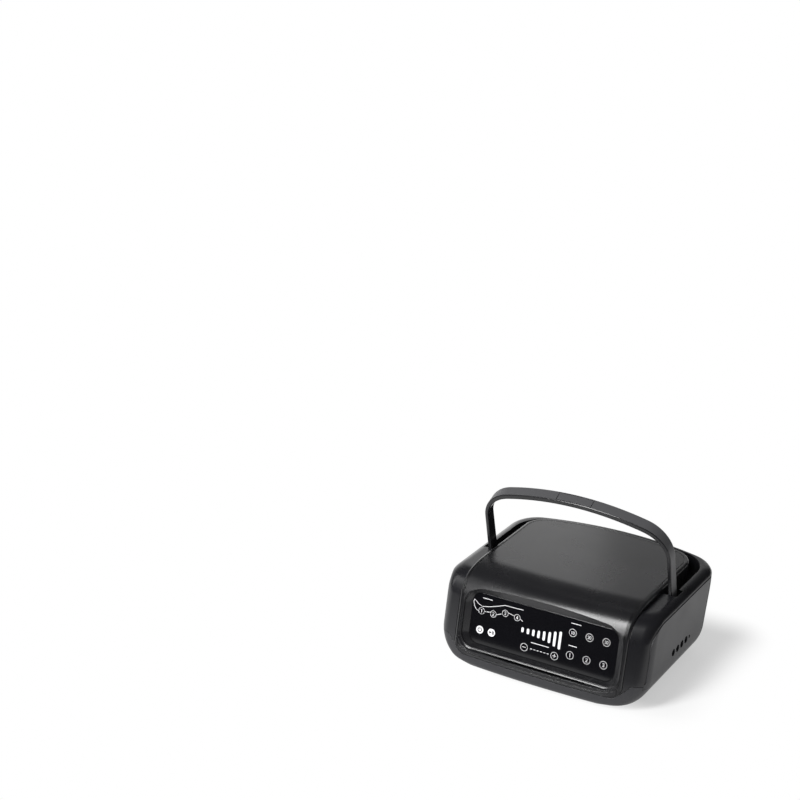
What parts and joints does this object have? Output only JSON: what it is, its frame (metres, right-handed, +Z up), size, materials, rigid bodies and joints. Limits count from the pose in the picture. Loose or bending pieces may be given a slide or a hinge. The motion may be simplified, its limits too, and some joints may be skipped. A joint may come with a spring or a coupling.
{
  "type": "compression therapy pump",
  "caption": "Rounded table-top air pump box with raked display front, hose sockets in the sides and a carrying handle that folds back into a channel round the lid.",
  "frame": {"origin": "centre of the overall box at the level of the feet, handle raised", "axes": "+X to the machine's own left-right width towards the seen hose sockets, -Y out of the display front, +Z up"},
  "size_m": [0.254, 0.2263, 0.1934],
  "materials": {
    "shell_plastic": "satin black moulded ABS",
    "cover_plastic": "satin black moulded ABS",
    "panel_plastic": "fine matt black moulded ABS",
    "handle_plastic": "half-gloss black moulded ABS",
    "display_glass": "gloss black printed panel",
    "rubber": "moulded black rubber",
    "nylon": "natural nylon",
    "hose": "clear extruded hose",
    "foam": "open foam",
    "steel": "drawn steel",
    "zinc_steel": "zinc plated steel",
    "cast_aluminium": "die cast",
    "brass": "turned brass",
    "copper": "wound copper wire",
    "circuit_board": "glass fibre board, green mask"
  },
  "bodies": {
    "housing": {"outer_shell": "shell_plastic", "handle_channel": "shell_plastic", "base_shell": "cover_plastic", "top_cover": "cover_plastic", "touch_panel": "display_glass", "side_panel_left": "panel_plastic", "side_panel_right": "panel_plastic", "pivot_pin_left": "steel", "washer_inner_left": "nylon", "washer_outer_left": "nylon", "port_block_left": "nylon", "hose_ribbon_left": "hose", "inlet_pin_left": "brass", "pivot_pin_right": "steel", "washer_inner_right": "nylon", "washer_outer_right": "nylon", "port_block_right": "nylon", "hose_ribbon_right": "hose", "inlet_pin_right": "brass", "foot_front_left": "rubber", "screw_front_left": "zinc_steel", "pump_mount_front_left": "rubber", "foot_front_right": "rubber", "screw_front_right": "zinc_steel", "pump_mount_front_right": "rubber", "foot_rear_left": "rubber", "screw_rear_left": "zinc_steel", "pump_mount_rear_left": "rubber", "foot_rear_right": "rubber", "screw_rear_right": "zinc_steel", "pump_mount_rear_right": "rubber", "pump_tray": "zinc_steel", "pump_motor": "steel", "pump_crankcase": "cast_aluminium", "pump_membrane": "rubber", "pump_head": "panel_plastic", "pump_silencer": "foam", "pump_tube": "hose", "valve_manifold": "nylon", "valve_coil_1": "copper", "valve_coil_2": "copper", "valve_coil_3": "copper", "valve_coil_4": "copper", "main_board": "circuit_board", "transformer": "copper", "display_board": "circuit_board", "display_cable": "nylon", "mains_inlet": "shell_plastic"},
    "handle": {"handle_bail": "handle_plastic", "handle_liner": "handle_plastic", "handle_inlay": "shell_plastic"},
    "rotor": {"pump_rotor": "brass"},
    "plunger_1": {"valve_plunger_1": "steel"},
    "plunger_2": {"valve_plunger_2": "steel"},
    "plunger_3": {"valve_plunger_3": "steel"},
    "plunger_4": {"valve_plunger_4": "steel"}
  },
  "joints": [
    {"name": "handle_fold", "type": "hinge", "parent": "housing", "child": "handle", "pos_m": [0, -0.0005, 0.087], "axis": [-1, 0, 0], "range_deg": [0, 103]},
    {"name": "rotor_spin", "type": "hinge", "parent": "housing", "child": "rotor", "pos_m": [0, 0.00543, 0.037], "axis": [1, 0, 0], "continuous": true},
    {"name": "plunger_lift_1", "type": "slide", "parent": "housing", "child": "plunger_1", "axis": [0, 0, 1], "range_m": [0, 0.0015], "stiffness_N_per_m": 300, "springref_m": -0.001},
    {"name": "plunger_lift_2", "type": "slide", "parent": "housing", "child": "plunger_2", "axis": [0, 0, 1], "range_m": [0, 0.0015], "stiffness_N_per_m": 300, "springref_m": -0.001},
    {"name": "plunger_lift_3", "type": "slide", "parent": "housing", "child": "plunger_3", "axis": [0, 0, 1], "range_m": [0, 0.0015], "stiffness_N_per_m": 300, "springref_m": -0.001},
    {"name": "plunger_lift_4", "type": "slide", "parent": "housing", "child": "plunger_4", "axis": [0, 0, 1], "range_m": [0, 0.0015], "stiffness_N_per_m": 300, "springref_m": -0.001}
  ]
}
